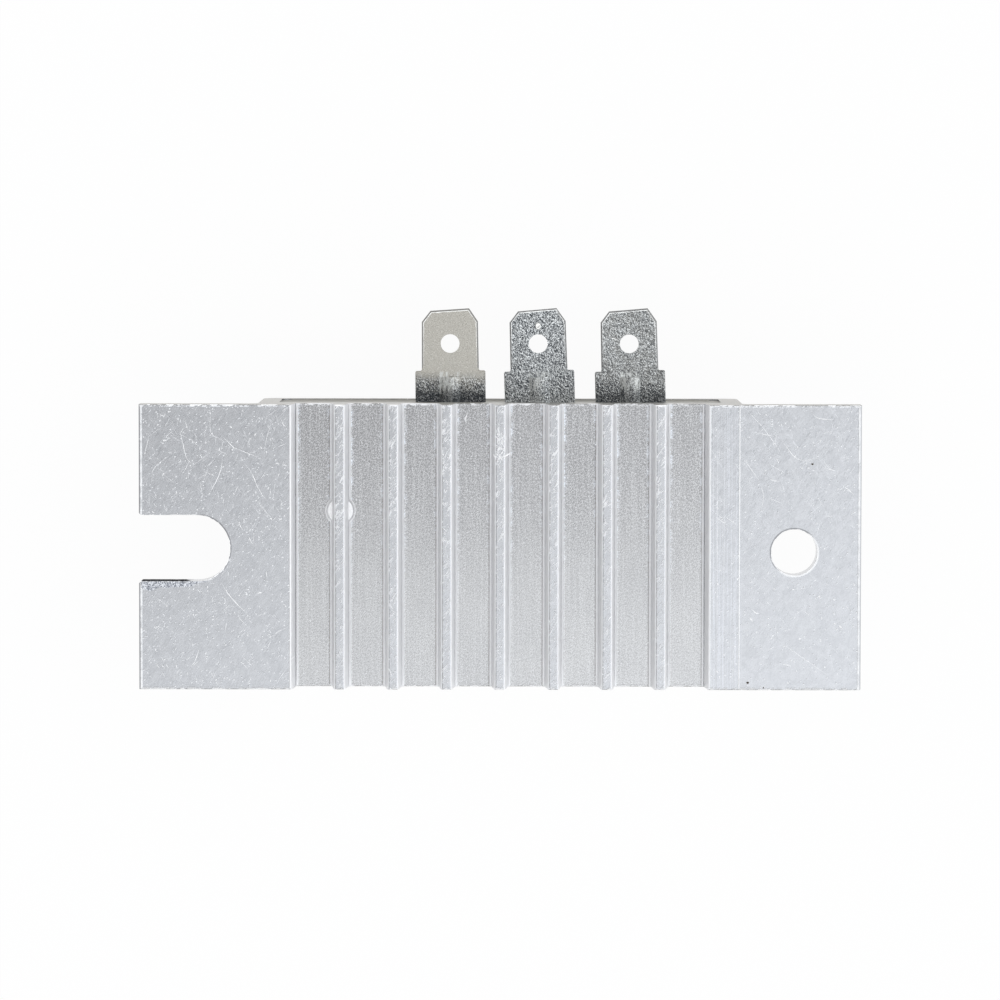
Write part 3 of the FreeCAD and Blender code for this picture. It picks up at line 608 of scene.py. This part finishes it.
def make_laminate():
    """Green board with the weave of its glass cloth."""
    s = Surface("board_laminate", Roughness=0.45)
    weave_x = s.math("SINE", s.math("MULTIPLY", s.x, 9.0))
    weave_y = s.math("SINE", s.math("MULTIPLY", s.y, 9.0))
    weave = s.total(s.product(weave_x, weave_y, 0.5), 0.5)
    s.set("Base Color", s.mix(weave, (0.05, 0.17, 0.07, 1.0), (0.09, 0.24, 0.11, 1.0)))
    s.set("Normal", s.bump(weave, 0.02 * MM))
    return s.material


def make_matt(name, dark, light, scale, roughness):
    """A plain non-metal with a fine mottle."""
    s = Surface(name)
    mottle = s.noise(s.place, scale, 3.0, 0.6)
    s.set("Base Color", s.mix(mottle, (*dark, 1.0), (*light, 1.0)))
    s.set("Roughness", s.step(mottle, 0.2, 0.8, roughness - 0.06, roughness + 0.06))
    s.set("Normal", s.bump(mottle, 0.01 * MM))
    return s.material


def make_floor():
    """A white floor just below the part, which keeps a soft shadow and lets a camera below it look up."""
    material = bpy.data.materials.new("white_floor")
    material.use_nodes = True
    n = Nodes(material.node_tree)
    n.tree.nodes.clear()
    path = n.add("ShaderNodeLightPath")
    rays = ("Is Camera Ray", "Is Glossy Ray", "Is Transmission Ray")
    seen = n.highest(*(path.outputs[name] for name in rays))
    paint = n.add("ShaderNodeBsdfDiffuse")
    paint.inputs["Color"].default_value = (0.94, 0.94, 0.94, 1.0)
    glow = n.add("ShaderNodeEmission")
    mix = n.add("ShaderNodeMixShader")
    n.put(n.math("MULTIPLY", seen, FLOOR_GLOW), mix.inputs[0])
    n.put(paint.outputs[0], mix.inputs[1])
    n.put(glow.outputs[0], mix.inputs[2])
    from_below = n.add("ShaderNodeMixShader")
    n.put(n.add("ShaderNodeNewGeometry").outputs["Backfacing"], from_below.inputs[0])
    n.put(mix.outputs[0], from_below.inputs[1])
    n.put(n.add("ShaderNodeBsdfTransparent").outputs[0], from_below.inputs[2])
    out = n.add("ShaderNodeOutputMaterial")
    n.put(from_below.outputs[0], out.inputs["Surface"])
    mesh = bpy.data.meshes.new("floor")
    reach = FLOOR_REACH
    level = -FLOOR_DROP
    corners = [(-reach, -reach, level), (reach, -reach, level), (reach, reach, level), (-reach, reach, level)]
    mesh.from_pydata(corners, [], [(0, 1, 2, 3)])
    mesh.materials.append(material)
    floor = bpy.data.objects.new("floor", mesh)
    bpy.context.scene.collection.objects.link(floor)


def make_sky():
    """A pale studio all round, brighter towards the lower right of the photograph."""
    world = bpy.data.worlds.new("studio")
    bpy.context.scene.world = world
    world.use_nodes = True
    n = Nodes(world.node_tree)
    backdrop = next(node for node in n.tree.nodes if node.type == "BACKGROUND")
    direction = n.add("ShaderNodeTexCoord").outputs["Generated"]
    towards = n.add("ShaderNodeVectorMath", operation="DOT_PRODUCT")
    n.put(direction, towards.inputs[0])
    n.put(SKY_TOWARDS, towards.inputs[1])
    level = n.step(towards.outputs["Value"], *SKY_EDGE, DARK_SKY, BRIGHT_SKY)
    n.put(level, backdrop.inputs["Strength"])
    n.put(n.mix(n.step(level, DARK_SKY, BRIGHT_SKY), DARK_TINT, BRIGHT_TINT), backdrop.inputs["Color"])


def on_plane(pixel, height):
    """The place in millimetres, on the level plane at that height, that the photograph shows at a pixel."""
    camera = bpy.context.scene.camera.matrix_world
    focal = CAMERA_LENS / SENSOR * PHOTO_SIZE
    ray = Vector(((pixel[0] - PHOTO_SIZE / 2) / focal, (PHOTO_SIZE / 2 - pixel[1]) / focal, -1.0))
    ray = camera.to_3x3() @ ray
    eye = camera.translation / MM
    return eye + ray * ((height - eye.z) / ray.z)


def skin(grid, start, rings, end):
    """A closed body from a point, through rings of places, to another point."""
    first = grid.verts.new(start)
    last = grid.verts.new(end)
    loops = [[grid.verts.new(place) for place in ring] for ring in rings]
    count = len(loops[0])
    for i in range(count):
        j = (i + 1) % count
        grid.faces.new((first, loops[0][j], loops[0][i]))
        grid.faces.new((last, loops[-1][i], loops[-1][j]))
        for near, far in zip(loops, loops[1:]):
            grid.faces.new((near[i], near[j], far[j], far[i]))


def make_piece(name, grid, material, smooth=False):
    """Turns a grid drawn in millimetres into a piece of the object."""
    bmesh.ops.recalc_face_normals(grid, faces=grid.faces)
    mesh = bpy.data.meshes.new(name)
    grid.to_mesh(mesh)
    grid.free()
    mesh.transform(Matrix.Scale(MM, 4))
    mesh.materials.append(material)
    for face in mesh.polygons:
        face.use_smooth = smooth
    piece = bpy.data.objects.new(name, mesh)
    bpy.context.scene.collection.objects.link(piece)
    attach(piece, "root")
    return piece


def sharp_edges(name, wanted, rank, least=SHARP_ANGLE):
    """Straight bits (start, end, normal, other normal) of a CAD node's sharp edges that wanted accepts.

    The normal that ranks higher comes first."""
    grid = bmesh.new()
    grid.from_mesh(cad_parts[name].data)
    bmesh.ops.scale(grid, vec=Vector((1, 1, 1)) / MM, verts=grid.verts)
    bmesh.ops.remove_doubles(grid, verts=grid.verts, dist=0.001)
    bits = []
    for edge in grid.edges:
        if len(edge.link_faces) == 2 and edge.calc_face_angle(0.0) > least and wanted(edge):
            start, end = (vert.co.copy() for vert in edge.verts)
            up, out = sorted((face.normal.copy() for face in edge.link_faces), key=rank, reverse=True)
            bits.append((start, end, up, out))
    grid.free()
    return bits


def joined(bits):
    """Runs of bits that follow each other, as lists of (place, normal, other normal)."""
    at = {}
    for number, (start, end, *_) in enumerate(bits):
        for place in (start, end):
            at.setdefault(tuple(round(value, 2) for value in place), []).append(number)
    free = set(range(len(bits)))
    runs = []
    while free:
        number = min(free)
        free.discard(number)
        start, end, up, out = bits[number]
        run = [(start, up, out), (end, up, out)]
        for forward in (True, False):
            while True:
                tip = run[-1 if forward else 0][0]
                onward = [item for item in at[tuple(round(value, 2) for value in tip)] if item in free]
                if not onward:
                    break
                free.discard(onward[0])
                first, second, up, out = bits[onward[0]]
                place = second if (first - tip).length < (second - tip).length else first
                run.insert(len(run) if forward else 0, (place, up, out))
        runs.append(run)
    return runs


def spaced(run, spacing):
    """Evenly spaced (place, normal, other normal) along a run."""
    result = []
    at = 0.0
    for (start, *_), (end, up, out) in zip(run, run[1:]):
        length = (end - start).length
        while at < length:
            result.append((start.lerp(end, at / length), up, out))
            at += spacing
        at -= length
    return result


def burr_ring(place, up, out, size):
    """Section of a bead of torn metal on an edge between two faces."""
    foot = BURR_FOOT * (0.4 + size)
    rise = BURR_RISE * size
    return [
        place - out * foot - up * BURR_SINK,
        place + up * rise + out * rise * 0.2,
        place - up * foot * 0.6 - out * BURR_SINK,
        place - (up + out) * foot * 0.5,
    ]


def add_burrs(grid, run, cover, strength, seed):
    """Ragged beads of torn metal along a sharp edge. The higher the cover, the fewer the gaps."""
    shift = Vector((seed, 2.0 * seed, -seed))
    bead = []
    for place, up, out in spaced(run, BURR_SPACING):
        size = noise.noise(place * 0.8 + shift) + 0.6 * noise.noise(place * 3.1 + shift) + cover
        if size > 0:
            bead.append((place, up, out, min(size, 1.0) * strength))
            continue
        finish_bead(grid, bead)
        bead = []
    finish_bead(grid, bead)


def finish_bead(grid, bead):
    """Closes a bead, if it is long enough to show."""
    if len(bead) < 3:
        return
    rings = [burr_ring(*station) for station in bead[1:-1]]
    skin(grid, bead[0][0], rings, bead[-1][0])


def burr_piece(name, node, wanted, rank, cover, strength, seed):
    """A piece that holds the burrs of one kind of edge."""
    grid = bmesh.new()
    for run in joined(sharp_edges(node, wanted, rank)):
        add_burrs(grid, run, cover, strength, seed)
    make_piece(name, grid, MATERIALS["burr"])


def sawn_edge(edge):
    """True for the outer outline of the two sawn ends."""
    at_end = all(abs(abs(vert.co.y) - DEPTH_HALF) < 0.01 for vert in edge.verts)
    level_with_mouth = all(MOUTH_LOW < vert.co.z < MOUTH_HIGH for vert in edge.verts)
    round_mouth = level_with_mouth and all(abs(vert.co.x) < MOUTH_HALF for vert in edge.verts)
    return at_end and not round_mouth


def punched_edge(edge):
    """True for the rims of the slot and of the hole on the finned side."""
    on_top = all(vert.co.z > TOP_Z - 0.01 for vert in edge.verts)
    within = all(abs(vert.co.y) < DEPTH_HALF - 1.0 for vert in edge.verts)
    return on_top and within


def smooth_line(points, spacing):
    """Places along a smooth curve through points."""
    padded = [points[0] * 2 - points[1]] + points + [points[-1] * 2 - points[-2]]
    places = []
    for a, b, c, d in zip(padded, padded[1:], padded[2:], padded[3:]):
        count = max(2, round((c - b).length / spacing))
        for i in range(count):
            t = i / count
            squared = a * 2 - b * 5 + c * 4 - d
            cubed = b * 3 - a - c * 3 + d
            places.append((b * 2 + (c - a) * t + squared * t * t + cubed * t ** 3) / 2)
    return places + [points[-1]]


def add_scratch(grid, places, width, rng):
    """The raised lip of a scratch: a low ridge with pointed ends that follows places on a level surface."""
    rings = []
    last = len(places) - 1
    for i in range(1, last):
        along = (places[i + 1] - places[i - 1]).normalized()
        side = Vector((-along.y, along.x, 0.0))
        half = width / 2 * min(1.0, 2.5 * i / last, 2.5 * (last - i) / last) * rng.uniform(0.45, 1.2)
        centre = places[i] + side * rng.uniform(-0.12, 0.12) * width
        crest = -0.7 * math.copysign(half, side.dot(SKY_TOWARDS))
        rings.append([
            centre - side * half - UP * SCRATCH_SINK,
            centre + side * crest + UP * SCRATCH_RISE * rng.uniform(0.6, 1.0),
            centre + side * half - UP * SCRATCH_SINK,
        ])
    if rings:
        skin(grid, places[0], rings, places[-1])


def drawn_scratches(grid, strokes, height, rng):
    """Scratches that follow strokes of the photograph, each a width in millimetres and its pixels."""
    for width, pixels in strokes:
        points = [on_plane(pixel, height) for pixel in pixels]
        add_scratch(grid, smooth_line(points, SCRATCH_SPACING), width * DRAWN_WIDTH, rng)


def stray_scratches(grid, count, x_range, y_range, height, longest, widest, rng):
    """Small scratches at random places of a rectangle."""
    for _ in range(count):
        start = Vector((rng.uniform(*x_range), rng.uniform(*y_range), height))
        length = longest * rng.random() ** 2.5 + 0.15
        turn = rng.uniform(-1.2, 1.2) + math.pi / 2
        bend = rng.uniform(-0.25, 0.25)
        points = []
        for t in (0.0, 0.5, 1.0):
            angle = turn + bend * t
            points.append(start + Vector((math.cos(angle), math.sin(angle), 0.0)) * length * t)
        if all(allowed(point) for point in points):
            add_scratch(grid, smooth_line(points, SCRATCH_SPACING), widest * rng.uniform(0.3, 1.0), rng)


def allowed(place):
    """True where the flange is solid: off the slot and the hole, and within the plate."""
    past_slot = place.x > SLOT_END_X or abs(place.y - SLOT_Y) > SLOT_HALF
    off_slot = past_slot and (place - Vector((SLOT_END_X, SLOT_Y, place.z))).length > SLOT_HALF + 0.1
    off_hole = (place - Vector((HOLE_X, HOLE_Y, place.z))).length > HOLE_HALF + 0.1
    in_plate = abs(place.x) < PLATE_HALF - 0.2 and abs(place.y) < DEPTH_HALF - 0.2
    return off_slot and off_hole and in_plate


def make_scratches():
    """Scratches and nicks on the flanges, the fin tips and the groove floors."""
    rng = random.Random(11)
    grid = bmesh.new()
    drawn_scratches(grid, LEFT_SCRATCHES + RIGHT_SCRATCHES + FIN_NICKS, TOP_Z, rng)
    drawn_scratches(grid, GROOVE_SCRATCHES, FLOOR_Z, rng)
    right = (STEP_TOP_X + STRAY_EDGE, PLATE_HALF - STRAY_EDGE)
    left = (-right[1], -right[0])
    depth = (-DEPTH_HALF + STRAY_EDGE, DEPTH_HALF - STRAY_EDGE)
    for strays, flange in ((LEFT_STRAYS, left), (RIGHT_STRAYS, right)):
        for count, longest, widest, lowest in strays:
            y_range = (max(depth[0], lowest), depth[1])
            stray_scratches(grid, count, flange, y_range, TOP_Z, longest, widest, rng)
    for i in range(FIN_COUNT):
        x = (i - (FIN_COUNT - 1) / 2) * FIN_PITCH
        stray_scratches(grid, 34, (x - TIP_REACH, x + TIP_REACH), depth, TOP_Z, 0.9, 0.07, rng)
    stray_scratches(grid, 90, (-TIP_REACH, TIP_REACH), FIN_SCUFF, TOP_Z, 1.0, 0.16, rng)
    for i in range(FIN_COUNT + 1):
        x = (i - FIN_COUNT / 2) * FIN_PITCH
        stray_scratches(grid, 26, (x - GROOVE_REACH, x + GROOVE_REACH), depth, FLOOR_Z, 0.7, 0.05, rng)
    make_piece("scratch_lips", grid, MATERIALS["burr"])


def make_die_line():
    """Fine lines that the die left along the right flange."""
    grid = bmesh.new()
    rng = random.Random(5)
    for x, width in DIE_LINES:
        ends = [Vector((x, -DEPTH_HALF + 0.05, TOP_Z)), Vector((x, DEPTH_HALF - 0.05, TOP_Z))]
        add_scratch(grid, smooth_line(ends, 0.6), width, rng)
    make_piece("die_lines", grid, MATERIALS["burr"])


def add_patch(grid, columns, rows, top, sunk):
    """A closed blister: a grid of places on top, and a flat bed below that shares its border."""
    upper = {}
    lower = {}
    for i in range(columns + 1):
        for j in range(rows + 1):
            place = top(i / columns, j / rows)
            border = i in (0, columns) or j in (0, rows)
            bed = Vector((place.x, place.y, sunk))
            lower[i, j] = grid.verts.new(bed)
            upper[i, j] = lower[i, j] if border else grid.verts.new(place)
    for i in range(columns):
        for j in range(rows):
            corners = ((i, j), (i + 1, j), (i + 1, j + 1), (i, j + 1))
            grid.faces.new([upper[corner] for corner in corners])
            grid.faces.new([lower[corner] for corner in reversed(corners)])


def make_slot_tear():
    """The torn band that the cutter left along the slot's lower edge."""
    start, _ = on_plane(TEAR_FROM, TOP_Z).xy
    end, _ = on_plane(TEAR_TO, TOP_Z).xy

    def top(u, v):
        x = start + (end - start) * u
        reach = TEAR_DEPTH * (0.55 + 0.45 * noise.noise(Vector((x * 0.7, 3.0, 0.0)))) * (1.0 - u ** 3)
        y = SLOT_Y - SLOT_HALF + 0.02 - v * reach
        rough = noise.noise(Vector((x * 5.0, y * 6.0, 1.0)))
        rough += 0.5 * noise.noise(Vector((x * 11.0, y * 11.0, 4.0)))
        return Vector((x, y, TOP_Z + TEAR_RISE * (1.0 - v) ** 0.7 * (0.5 + rough)))

    grid = bmesh.new()
    add_patch(grid, 120, 12, top, TOP_Z - 0.02)
    make_piece("slot_tear", grid, MATERIALS["torn"])


def make_rivet_lip():
    """The white rim round the rivet's end where it stands in the two grooves."""
    grid = bmesh.new()
    low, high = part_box("earth_rivet")
    centre = (low + high) / 2 / MM
    loops = []
    for i in range(RIVET_SEGMENTS):
        angle = 2 * math.pi * i / RIVET_SEGMENTS
        way = Vector((math.cos(angle), math.sin(angle), 0.0))
        wide = 0.13 + 0.04 * noise.noise(way * 2.0)
        core = Vector((centre.x, centre.y, FLOOR_Z)) + way * (RIVET_HALF + 0.05)
        ring = []
        for j in range(LIP_SIDES):
            around = 2 * math.pi * j / LIP_SIDES
            rise = math.sin(around) * 0.09 + 0.02
            ring.append(grid.verts.new(core + way * math.cos(around) * wide + UP * rise))
        loops.append(ring)
    for i, ring in enumerate(loops):
        other = loops[(i + 1) % len(loops)]
        for j in range(LIP_SIDES):
            k = (j + 1) % LIP_SIDES
            grid.faces.new((ring[j], ring[k], other[k], other[j]))
    make_piece("rivet_lip", grid, MATERIALS["burr"], smooth=True)


def add_grain(grid, centre, size, flat, rng):
    """A small uneven grain that lies on a surface."""
    rings = []
    for level, share in ((0.15, 0.85), (0.5, 1.0), (0.85, 0.6)):
        ring = []
        for i in range(GRAIN_SIDES):
            angle = 2 * math.pi * i / GRAIN_SIDES
            way = Vector((math.cos(angle), math.sin(angle) * 0.8, 0.0))
            reach = size * share * rng.uniform(0.75, 1.1)
            ring.append(centre + way * reach + UP * level * flat)
        rings.append(ring)
    skin(grid, centre - UP * 0.01, rings, centre + UP * flat)


def make_dirt():
    """The few dark specks on the right flange."""
    rng = random.Random(3)
    grid = bmesh.new()
    for pixel, size in DIRT:
        add_grain(grid, on_plane(pixel, TOP_Z), size, 0.03, rng)
    make_piece("dirt_specks", grid, MATERIALS["dirt"], smooth=True)


def make_terminal_marks():
    """Scratches and the small dent on the blades' faces."""
    rng = random.Random(7)
    _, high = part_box("terminal_middle")
    face_z = high.z / MM - RIB_RISE
    grid = bmesh.new()
    drawn_scratches(grid, BLADE_SCRATCHES, face_z, rng)
    make_piece("blade_scratches", grid, MATERIALS["tin_burr"])

    grid = bmesh.new()
    centre = on_plane(DENT, face_z)
    rings = []
    for reach, level in DENT_SECTION:
        ring = []
        for i in range(DENT_SIDES):
            angle = 2 * math.pi * i / DENT_SIDES
            way = Vector((math.cos(angle) * 0.75, math.sin(angle), 0.0))
            ring.append(centre + way * reach + UP * level)
        rings.append(ring)
    skin(grid, centre - UP * 0.02, rings, centre + UP * 0.002)
    make_piece("blade_dent", grid, MATERIALS["tin_burr"], smooth=True)


def blade_rim(edge):
    """True for the outline of a blade's flat face, where its bevel starts."""
    low, high = sorted(face.normal.z for face in edge.link_faces)
    between = high > 0.99 and RIM_SLOPE[0] < low < RIM_SLOPE[1]
    return between and all(vert.co.y > RIM_FROM_Y for vert in edge.verts)


def make_rim_lines():
    """Bright lines along the outlines of the blades' flat faces."""
    rng = random.Random(9)
    grid = bmesh.new()
    for name in BLADE_LEANS:
        for run in joined(sharp_edges(name, blade_rim, lambda normal: normal.z, RIM_ANGLE)):
            places = [place - Vector((out.x, out.y, 0.0)).normalized() * RIM_INSET
                      for place, _, out in spaced(run, SCRATCH_SPACING)]
            if len(places) > 3:
                add_scratch(grid, places, RIM_WIDTH, rng)
    make_piece("blade_rims", grid, MATERIALS["tin_burr"])


def blade_outline(name, y, offset):
    """Section of a leaning blade across Y where it leaves the resin, with its rib, grown by an offset."""
    x = BLADE_LEGS_X[name] - (y - LEG_FACE_Y) * math.tan(math.radians(BLADE_LEANS[name]))
    half = BLADE_HALF + offset
    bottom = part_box(name)[1].z / MM - RIB_RISE - SHEET - offset
    top = bottom + SHEET + 2 * offset
    rib = RIB_WIDTH / 2 + offset
    crown = rib * 0.55
    rib_top = top + RIB_RISE * 0.75
    points = [(-half, bottom), (-rib, bottom), (rib, bottom), (half, bottom), (half, top), (rib, top)]
    points += [(crown, rib_top), (-crown, rib_top), (-rib, top), (-half, top)]
    return [(x + dx, z) for dx, z in points]


def add_wall_bead(grid, level):
    """A bead of resin along the front wall of the mouth."""
    rings = []
    for i in range(WALL_BEADS + 1):
        x = (2 * i / WALL_BEADS - 1) * WALL_BEAD_HALF
        ripple = 0.03 * noise.noise(Vector((x * 0.6, 8.0, 0.0)))
        rings.append([Vector((x, level + rise + ripple, CAVITY_LOW + off)) for off, rise in WALL_SECTION])
    outward = Vector((0.1, 0.0, 0.0))
    start, end = (sum(ring, Vector()) / len(WALL_SECTION) for ring in (rings[0], rings[-1]))
    skin(grid, start - outward, rings, end + outward)


def make_menisci():
    """Resin that climbs a little way up each blade and up the front wall."""
    grid = bmesh.new()
    resin_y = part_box("potting_resin")[1].y / MM - RESIN_SAG
    for name in BLADE_LEANS:
        section = []
        for i in range(MENISCUS_STEPS + 1):
            angle = math.pi / 2 * i / MENISCUS_STEPS
            section.append((MENISCUS * (1 - math.sin(angle)) - 0.03, MENISCUS * (1 - math.cos(angle)) - 0.02))
        section.append((-0.08, -0.3))
        section.append((MENISCUS, -0.3))
        loops = [
            [grid.verts.new((x, resin_y + rise, z)) for x, z in blade_outline(name, resin_y, offset)]
            for offset, rise in section
        ]
        for loop, other in zip(loops, loops[1:] + loops[:1]):
            for i in range(len(loop)):
                j = (i + 1) % len(loop)
                grid.faces.new((loop[i], loop[j], other[j], other[i]))
    add_wall_bead(grid, resin_y + RESIN_SAG)
    make_piece("resin_menisci", grid, MATERIALS["resin"], smooth=True)


def assign(name, material):
    """Gives a CAD node one material."""
    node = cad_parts[name]
    node.data.materials.clear()
    node.data.materials.append(material)


def dress_nodes():
    """Finishes every CAD node."""
    lead_metal = make_plain_metal("lead_metal", (0.62, 0.62, 0.62), 0.3)
    moulding = make_matt("case_moulding", (0.03, 0.03, 0.03), (0.06, 0.06, 0.06), 4.0, 0.5)
    black_ceramic = make_matt("chip_ceramic", (0.05, 0.05, 0.05), (0.1, 0.1, 0.1), 6.0, 0.4)
    brown_ceramic = make_matt("capacitor_ceramic", (0.45, 0.34, 0.22), (0.55, 0.42, 0.28), 5.0, 0.45)
    finishes = {
        "heat_sink_housing": make_aluminium(),
        "earth_rivet": make_plain_metal("rivet_aluminium", (0.9, 0.9, 0.905), 0.35),
        "potting_resin": MATERIALS["resin"],
        "circuit_board": make_laminate(),
        "solder_joints": make_plain_metal("solder", (0.6, 0.6, 0.61), 0.25),
        "thermal_pad": make_matt("thermal_pad", (0.42, 0.47, 0.52), (0.5, 0.55, 0.6), 3.0, 0.7),
        "earth_strap": make_plain_metal("strap_brass", (0.7, 0.55, 0.3), 0.3),
        "chip_capacitor_body": brown_ceramic,
        "terminal_left": make_tin("terminal_left", (0.525, 0.505, 0.455), 0.07, 1.0),
        "terminal_middle": make_tin("terminal_middle", (0.42, 0.435, 0.44), 1.0, 0.05),
        "terminal_right": make_tin("terminal_right", (0.36, 0.36, 0.345), 0.75, 0.75),
    }
    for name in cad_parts:
        if name in finishes:
            assign(name, finishes[name])
        elif name.endswith("_case"):
            assign(name, moulding)
        elif name.startswith("chip_resistor") and name.endswith("_body"):
            assign(name, black_ceramic)
        else:
            assign(name, lead_metal)


make_camera()
make_sky()
make_floor()
bpy.context.scene.view_settings.view_transform = "Standard"
MATERIALS = {
    "burr": make_burr(),
    "tin_burr": make_plain_metal("tin_burr", (0.86, 0.86, 0.84), 0.3),
    "torn": make_torn(),
    "dirt": make_matt("dirt", (0.03, 0.025, 0.02), (0.12, 0.09, 0.06), 9.0, 0.6),
    "resin": make_resin(),
}
dress_nodes()
burr_piece("sawn_burrs", "heat_sink_housing", sawn_edge, lambda normal: -abs(normal.y), 0.12, 1.0, 1.0)
burr_piece("punched_burrs", "heat_sink_housing", punched_edge, lambda normal: normal.z, 0.25, 0.5, 2.0)
make_scratches()
make_die_line()
make_slot_tear()
make_rivet_lip()
make_dirt()
make_terminal_marks()
make_rim_lines()
make_menisci()
